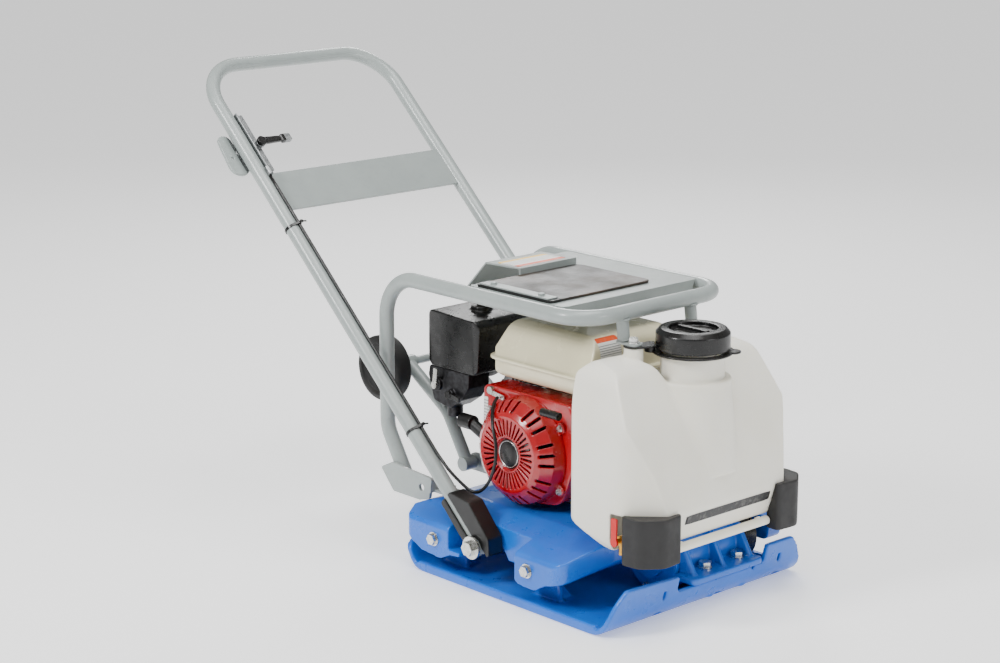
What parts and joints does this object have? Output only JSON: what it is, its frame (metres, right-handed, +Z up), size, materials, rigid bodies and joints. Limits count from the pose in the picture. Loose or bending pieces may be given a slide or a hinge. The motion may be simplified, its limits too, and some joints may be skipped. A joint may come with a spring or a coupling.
{
  "type": "plate compactor",
  "caption": "Walk-behind vibratory plate for compacting soil and paving, with engine, folding handle, lifting cage, water tank and transport wheels.",
  "frame": {"origin": "on the ground under the flat sole, on the centreline, 270 mm behind the front bottom edge of the plate", "axes": "+X forward, towards the water tank; +Y to the operator's left; +Z up"},
  "size_m": [1.2324, 0.535, 0.8699],
  "materials": {
    "blue_paint": "gloss",
    "grey_paint": "satin",
    "plated_steel": "bright zinc",
    "dark_steel": "dull",
    "cast_aluminium": "as cast",
    "red_paint": "gloss",
    "red_plastic": "gloss",
    "cream_paint": "gloss",
    "ivory_plastic": "satin",
    "charcoal_rubber": "moulded",
    "black_rubber": "moulded",
    "black_plastic": "satin",
    "brass": "machined",
    "tyre": "solid rubber"
  },
  "bodies": {
    "base": {"base_plate": "blue_paint", "exciter_housing": "blue_paint", "exciter_covers": "blue_paint", "exciter_bearings": "plated_steel", "exciter_bolts": "plated_steel", "rubber_isolators": "black_rubber"},
    "exciter_rotor": {"exciter_shaft": "plated_steel", "eccentric_weight": "dark_steel", "exciter_pulley": "dark_steel"},
    "deck": {"engine_deck": "blue_paint", "isolator_bolts": "plated_steel", "drive_belt": "black_rubber", "belt_guard": "black_plastic", "lifting_cage": "grey_paint", "cage_feet": "grey_paint", "cage_bolts": "plated_steel", "top_sheet": "grey_paint", "top_hood": "grey_paint", "flap_clamp": "grey_paint", "flap_root": "black_rubber", "handle_pivots": "plated_steel", "crankcase": "cast_aluminium", "cylinder_barrel": "cast_aluminium", "fan_shroud": "red_paint", "recoil_cover": "red_paint", "engine_bolts": "plated_steel", "fuel_tank": "cream_paint", "air_cleaner": "black_plastic", "carburetor": "dark_steel", "plug_cap": "black_rubber", "muffler": "dark_steel", "water_tank": "ivory_plastic", "cap_tether": "black_plastic", "tank_bumpers": "charcoal_rubber", "spray_bar": "ivory_plastic", "valve_body": "brass", "throttle_cable_loop": "black_plastic", "wheel_bracket": "grey_paint"},
    "air_cleaner_knob": {"air_cleaner_knob": "black_plastic"},
    "crank": {"crankshaft": "plated_steel", "flywheel_fan": "dark_steel", "clutch_pulley": "dark_steel"},
    "handle": {"handle_frame": "grey_paint", "handle_buffers": "black_rubber", "cable_ties": "black_plastic", "throttle_bracket": "cast_aluminium", "throttle_cable_upper": "black_plastic"},
    "throttle_lever": {"throttle_lever": "black_plastic"},
    "throttle_arm": {"throttle_arm": "plated_steel"},
    "choke_lever": {"choke_lever": "plated_steel"},
    "fuel_valve_lever": {"fuel_valve_lever": "black_plastic"},
    "engine_switch": {"engine_switch": "red_plastic"},
    "recoil_grip": {"recoil_grip": "black_plastic"},
    "fuel_cap": {"fuel_cap": "plated_steel"},
    "water_cap": {"water_cap": "black_plastic"},
    "valve_lever": {"valve_lever": "red_plastic"},
    "flap": {"rubber_flap": "black_rubber"},
    "wheel_frame": {"wheel_frame": "grey_paint"},
    "wheel_near": {"wheel_near": "tyre"},
    "wheel_far": {"wheel_far": "tyre"}
  },
  "joints": [
    {"name": "deck_bounce", "type": "slide", "parent": "base", "child": "deck", "axis": [0, 0, 1], "range_m": [-0.003, 0.003], "stiffness_N_per_m": 300000, "springref_m": 0.0027, "deforming": ["drive_belt", "rubber_isolators"]},
    {"name": "exciter_spin", "type": "hinge", "parent": "base", "child": "exciter_rotor", "pos_m": [0.178, 0.05, 0.072], "axis": [0, 1, 0], "continuous": true},
    {"name": "crank_spin", "type": "hinge", "parent": "deck", "child": "crank", "pos_m": [-0.06, 0.05, 0.237], "axis": [0, 1, 0], "continuous": true},
    {"name": "handle_fold", "type": "hinge", "parent": "deck", "child": "handle", "pos_m": [-0.062, 0, 0.081], "axis": [0, 1, 0], "range_deg": [0, 108], "deforming": ["throttle_cable_loop"]},
    {"name": "throttle_lever_swing", "type": "hinge", "parent": "handle", "child": "throttle_lever", "pos_m": [-0.73027, -0.194, 0.72501], "axis": [0.6845, 0, 0.729], "range_deg": [0, 50]},
    {"name": "throttle_arm_swing", "type": "hinge", "parent": "deck", "child": "throttle_arm", "pos_m": [-0.152, -0.121, 0.33], "axis": [0, -1, 0], "range_deg": [0, 25]},
    {"name": "choke_swing", "type": "hinge", "parent": "deck", "child": "choke_lever", "pos_m": [-0.322, -0.11, 0.304], "axis": [0, 1, 0], "range_deg": [0, 45]},
    {"name": "fuel_valve_swing", "type": "hinge", "parent": "deck", "child": "fuel_valve_lever", "pos_m": [-0.284, -0.11, 0.292], "axis": [0, 1, 0], "range_deg": [0, 30]},
    {"name": "switch_turn", "type": "hinge", "parent": "deck", "child": "engine_switch", "pos_m": [-0.158, -0.126, 0.196], "axis": [0, 1, 0], "range_deg": [0, 60]},
    {"name": "recoil_pull", "type": "slide", "parent": "deck", "child": "recoil_grip", "axis": [0, -0.9397, 0.342], "range_m": [0, 0.45], "stiffness_N_per_m": 20, "springref_m": -0.3},
    {"name": "fuel_cap_turn", "type": "hinge", "parent": "deck", "child": "fuel_cap", "pos_m": [-0.045, -0.028, 0.485], "axis": [0, 0, 1], "range_deg": [0, 90]},
    {"name": "water_cap_turn", "type": "hinge", "parent": "deck", "child": "water_cap", "pos_m": [0.23, 0, 0.475], "axis": [0, 0, 1], "range_deg": [0, 360]},
    {"name": "air_knob_turn", "type": "hinge", "parent": "deck", "child": "air_cleaner_knob", "pos_m": [-0.282, -0.026, 0.456], "axis": [0, 0, 1], "range_deg": [0, 360]},
    {"name": "valve_turn", "type": "hinge", "parent": "deck", "child": "valve_lever", "pos_m": [0.248, -0.205, 0.158], "axis": [0, -1, 0], "range_deg": [0, 90]},
    {"name": "flap_lift", "type": "hinge", "parent": "deck", "child": "flap", "pos_m": [-0.046, -0.138, 0.5346], "axis": [1, 0, 0], "range_deg": [0, 100]},
    {"name": "wheel_swing", "type": "hinge", "parent": "deck", "child": "wheel_frame", "pos_m": [-0.278, 0, 0.152], "axis": [0, -1, 0], "range_deg": [0, 66]},
    {"name": "wheel_near_spin", "type": "hinge", "parent": "wheel_frame", "child": "wheel_near", "pos_m": [-0.448, -0.125, 0.317], "axis": [0, 1, 0], "continuous": true},
    {"name": "wheel_far_spin", "type": "hinge", "parent": "wheel_frame", "child": "wheel_far", "pos_m": [-0.448, 0.125, 0.317], "axis": [0, 1, 0], "continuous": true}
  ],
  "couplings": [
    {"joint": "exciter_spin", "follows": "crank_spin", "ratio": 1.2222},
    {"joint": "throttle_arm_swing", "follows": "throttle_lever_swing", "ratio": 0.5}
  ]
}
